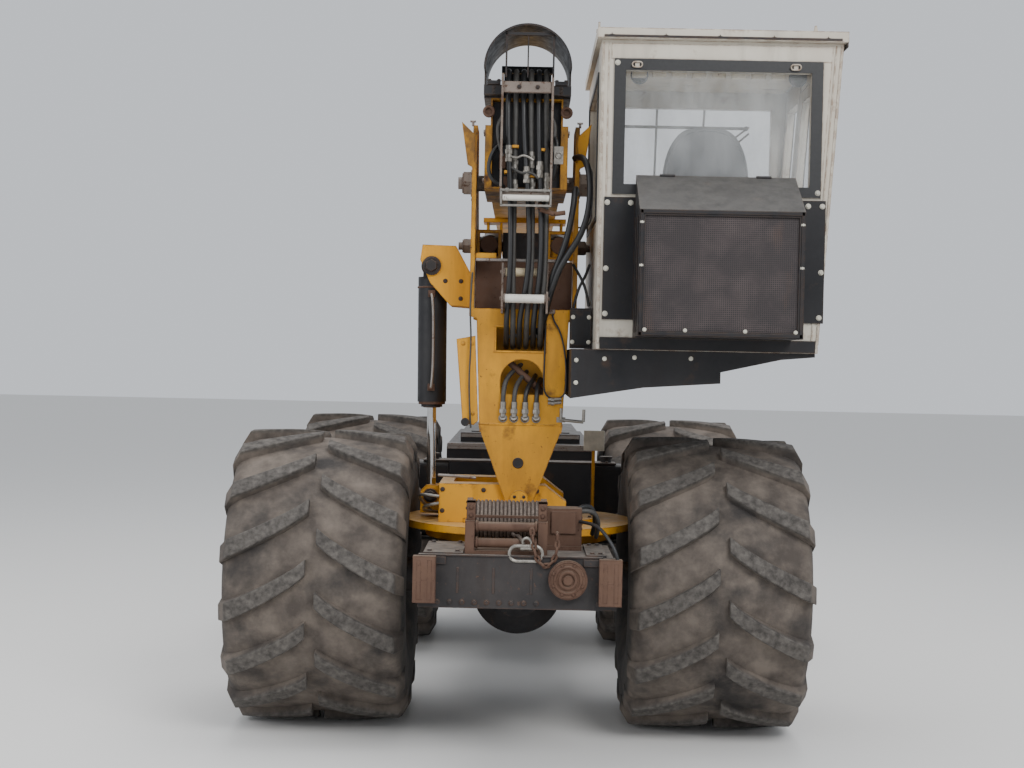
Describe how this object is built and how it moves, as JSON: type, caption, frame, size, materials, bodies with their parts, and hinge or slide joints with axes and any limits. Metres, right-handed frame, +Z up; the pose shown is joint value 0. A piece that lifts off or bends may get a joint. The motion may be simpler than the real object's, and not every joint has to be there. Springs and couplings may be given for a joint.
{
  "type": "articulated tree trimming machine with telescopic saw boom",
  "caption": "Wheeled, centre-articulated tree trimmer: slewing and tilting mast, offset cab and a telescopic boom with a circular saw at its tip.",
  "frame": {"origin": "on the ground, on the chassis centre line, half way along the machine as parked", "axes": "+X to the machine's right, +Y to its front along the stowed boom, +Z up"},
  "size_m": [3.298, 10.325, 3.93],
  "materials": {
    "yellow_paint": "worn orange-yellow paint",
    "black_paint": "dull black paint",
    "cab_paint": "aged beige-white paint",
    "rusty_steel": "rusty brown steel",
    "bare_steel": "worn bare steel",
    "chrome": "polished rod",
    "tyre": "dusty rubber",
    "rubber": "matte rubber",
    "glass": "clear, dusty",
    "roller": "cream plastic",
    "fibreglass": "orange-yellow fibreglass",
    "lamp": "clear lens",
    "fabric": "grey seat cover"
  },
  "bodies": {
    "rear_chassis": {"rear_frame": "black_paint", "rear_axle": "black_paint", "side_tanks": "black_paint", "rail_ends": "rusty_steel", "winch": "black_paint", "slew_plate": "black_paint"},
    "front_chassis": {"front_frame": "black_paint", "front_axle": "black_paint", "hood": "black_paint", "engine": "rusty_steel", "front_grille": "black_paint", "headlamps": "lamp", "front_bumper": "black_paint"},
    "wheel_rear_left": {"tyre_rear_left": "tyre", "rim_rear_left": "yellow_paint"},
    "wheel_rear_right": {"tyre_rear_right": "tyre", "rim_rear_right": "yellow_paint"},
    "wheel_front_left": {"tyre_front_left": "tyre", "rim_front_left": "yellow_paint"},
    "wheel_front_right": {"tyre_front_right": "tyre", "rim_front_right": "yellow_paint"},
    "turntable": {"tilt_base": "yellow_paint", "tilt_cheeks": "yellow_paint"},
    "tilting_mast": {"mast": "yellow_paint", "fork_pins": "black_paint", "tilt_arm": "yellow_paint", "cab_tray": "black_paint", "cab_floor": "cab_paint", "cab_rear_wall": "cab_paint", "cab_front_wall": "cab_paint", "cab_left_wall": "cab_paint", "cab_right_wall": "cab_paint", "cab_roof": "cab_paint", "cab_glass": "glass", "rear_window_frame": "rubber", "cooler_box": "black_paint", "cooler_mesh": "black_paint", "cab_rear_plates": "black_paint", "seat": "fabric", "levers": "black_paint", "mast_rollers": "roller", "mast_hoses": "rubber"},
    "door": {"cab_door": "cab_paint", "door_glass": "glass"},
    "tilt_cylinder": {"tilt_barrel": "black_paint"},
    "tilt_cylinder_rod": {"tilt_rod": "chrome"},
    "boom": {"outer_boom": "yellow_paint", "hose_guard": "black_paint", "hose_guide": "black_paint", "boom_hoses": "rubber"},
    "boom_middle": {"mid_boom": "yellow_paint"},
    "boom_tip": {"tip_boom": "fibreglass"},
    "saw": {"saw_head": "yellow_paint"},
    "blade": {"saw_blade": "bare_steel"},
    "lift_cylinders": {"lift_barrels": "black_paint"},
    "lift_cylinder_rods": {"lift_rods": "chrome"},
    "steer_cylinder_left": {"steer_barrel_left": "black_paint"},
    "steer_cylinder_right": {"steer_barrel_right": "black_paint"},
    "steer_piston_left": {"steer_rod_left": "chrome"},
    "steer_piston_right": {"steer_rod_right": "chrome"}
  },
  "joints": [
    {"name": "articulation", "type": "hinge", "parent": "rear_chassis", "child": "front_chassis", "pos_m": [0, -2.45, 0.95], "axis": [0, 0, 1], "range_deg": [-30, 30]},
    {"name": "rear_left_spin", "type": "hinge", "parent": "rear_chassis", "child": "wheel_rear_left", "pos_m": [-1.108, -3.8, 0.838], "axis": [1, 0, 0], "continuous": true},
    {"name": "rear_right_spin", "type": "hinge", "parent": "rear_chassis", "child": "wheel_rear_right", "pos_m": [1.108, -3.8, 0.838], "axis": [1, 0, 0], "continuous": true},
    {"name": "front_left_spin", "type": "hinge", "parent": "front_chassis", "child": "wheel_front_left", "pos_m": [-1.108, -1.1, 0.838], "axis": [1, 0, 0], "continuous": true},
    {"name": "front_right_spin", "type": "hinge", "parent": "front_chassis", "child": "wheel_front_right", "pos_m": [1.108, -1.1, 0.838], "axis": [1, 0, 0], "continuous": true},
    {"name": "slew", "type": "hinge", "parent": "rear_chassis", "child": "turntable", "pos_m": [0, -3.8, 1.165], "axis": [0, 0, 1], "continuous": true},
    {"name": "mast_tilt", "type": "hinge", "parent": "turntable", "child": "tilting_mast", "pos_m": [0, -3.8, 1.325], "axis": [0, 1, 0], "range_deg": [-12, 12]},
    {"name": "boom_lift", "type": "hinge", "parent": "tilting_mast", "child": "boom", "pos_m": [0, -3.95, 3.11], "axis": [1, 0, 0], "range_deg": [-8, 75], "deforming": ["boom_hoses"]},
    {"name": "boom_extend", "type": "slide", "parent": "boom", "child": "boom_middle", "axis": [0, 1, 0], "range_m": [0, 5.5]},
    {"name": "boom_tip_extend", "type": "slide", "parent": "boom_middle", "child": "boom_tip", "axis": [0, 1, 0], "range_m": [0, 5.5]},
    {"name": "saw_rotate", "type": "hinge", "parent": "boom_tip", "child": "saw", "pos_m": [0, 4.23, 3.3], "axis": [0, 1, 0], "range_deg": [-90, 90]},
    {"name": "blade_spin", "type": "hinge", "parent": "saw", "child": "blade", "pos_m": [0, 4.84, 3.3], "axis": [1, 0, 0], "continuous": true},
    {"name": "cab_door_hinge", "type": "hinge", "parent": "tilting_mast", "child": "door", "pos_m": [1.58297, -4.4675, 2.16919], "axis": [-0.0625, 0, -0.998], "range_deg": [0, 80]},
    {"name": "tilt_barrel_pivot", "type": "hinge", "parent": "tilting_mast", "child": "tilt_cylinder", "pos_m": [-0.53, -3.8, 2.636], "axis": [0, 1, 0], "range_deg": [-2, 2]},
    {"name": "tilt_rod_slide", "type": "slide", "parent": "tilt_cylinder", "child": "tilt_cylinder_rod", "axis": [0.0121, 0, -0.9999], "range_m": [-0.16, 0.13]},
    {"name": "lift_barrel_pivot", "type": "hinge", "parent": "tilting_mast", "child": "lift_cylinders", "pos_m": [0, -3.75, 2.765], "axis": [1, 0, 0], "range_deg": [-10, 75]},
    {"name": "lift_rod_slide", "type": "slide", "parent": "lift_cylinders", "child": "lift_cylinder_rods", "axis": [0, 0.9939, 0.11], "range_m": [-0.06, 0.49]},
    {"name": "steer_barrel_left_pivot", "type": "hinge", "parent": "rear_chassis", "child": "steer_cylinder_left", "pos_m": [-0.33, -3.15, 0.94], "axis": [0, 0, 1], "range_deg": [-10, 10]},
    {"name": "steer_rod_left_slide", "type": "slide", "parent": "steer_cylinder_left", "child": "steer_piston_left", "axis": [0, 1, 0], "range_m": [-0.18, 0.18]},
    {"name": "steer_barrel_right_pivot", "type": "hinge", "parent": "rear_chassis", "child": "steer_cylinder_right", "pos_m": [0.33, -3.15, 0.94], "axis": [0, 0, 1], "range_deg": [-10, 10]},
    {"name": "steer_rod_right_slide", "type": "slide", "parent": "steer_cylinder_right", "child": "steer_piston_right", "axis": [0, 1, 0], "range_m": [-0.18, 0.18]}
  ],
  "couplings": [
    {"joint": "boom_tip_extend", "follows": "boom_extend", "ratio": 1},
    {"joint": "tilt_barrel_pivot", "follows": "mast_tilt", "ratio": -0.005},
    {"joint": "tilt_rod_slide", "follows": "mast_tilt", "m_per_rad": 0.51},
    {"joint": "lift_barrel_pivot", "follows": "boom_lift", "ratio": 0.97},
    {"joint": "lift_rod_slide", "follows": "boom_lift", "m_per_rad": 0.3628},
    {"joint": "steer_barrel_left_pivot", "follows": "articulation", "ratio": 0.25},
    {"joint": "steer_rod_left_slide", "follows": "articulation", "m_per_rad": -0.3235},
    {"joint": "steer_barrel_right_pivot", "follows": "articulation", "ratio": 0.25},
    {"joint": "steer_rod_right_slide", "follows": "articulation", "m_per_rad": 0.3235}
  ]
}
